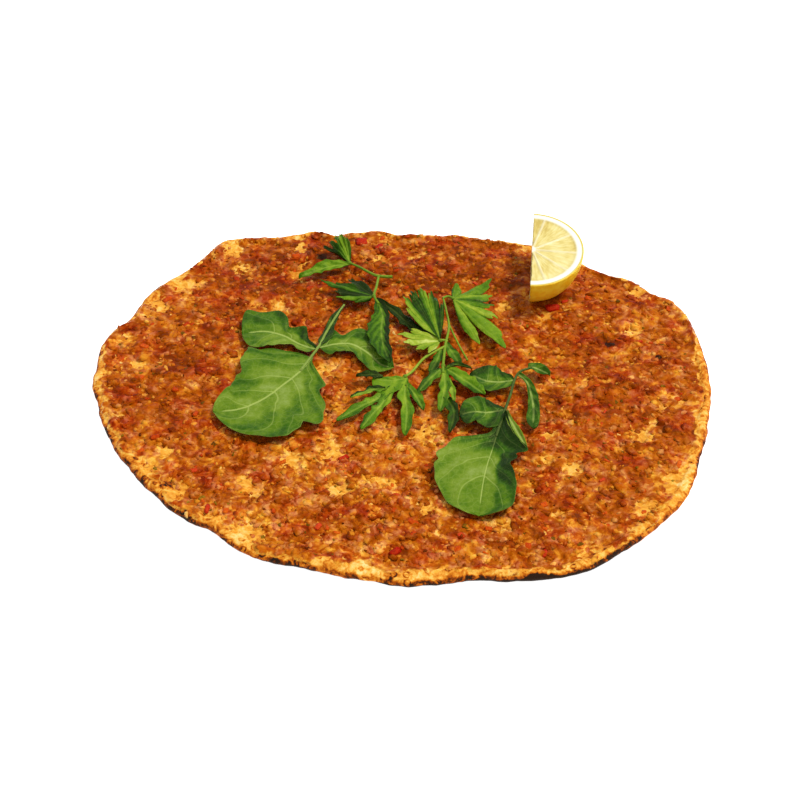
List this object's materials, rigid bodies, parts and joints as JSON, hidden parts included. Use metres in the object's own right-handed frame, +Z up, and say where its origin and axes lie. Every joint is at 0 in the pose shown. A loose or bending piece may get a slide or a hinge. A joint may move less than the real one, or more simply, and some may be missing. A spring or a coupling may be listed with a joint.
{
  "type": "turkish pizza",
  "caption": "Thin oval flatbread baked under a spiced mince spread, served flat with rocket leaves, parsley sprigs and a lemon wedge on top.",
  "frame": {"origin": "middle of the underside, at the centre of the box round the whole part, on the surface it lies on", "axes": "+Z up, +X along the bread's longer way towards the lemon's side, +Y towards the bread's far side, where the lemon stands"},
  "size_m": [0.3098, 0.2598, 0.0314],
  "materials": {
    "dough": "baked golden dough with brown and charred spots",
    "mince_spread": "oily orange-brown mince with pepper, onion and herb bits",
    "lemon": "moist pale yellow flesh and waxy yellow peel",
    "rocket_leaf": "satin green leaf with pale veins",
    "parsley_leaf": "satin green leaf with pale stalks"
  },
  "bodies": {
    "root": {"flatbread": "dough", "meat_spread": "mince_spread", "lemon_wedge": "lemon", "rocket_leaf_left": "rocket_leaf", "rocket_leaf_right": "rocket_leaf", "parsley_sprig_back": "parsley_leaf", "parsley_sprig_middle": "parsley_leaf"}
  },
  "joints": []
}
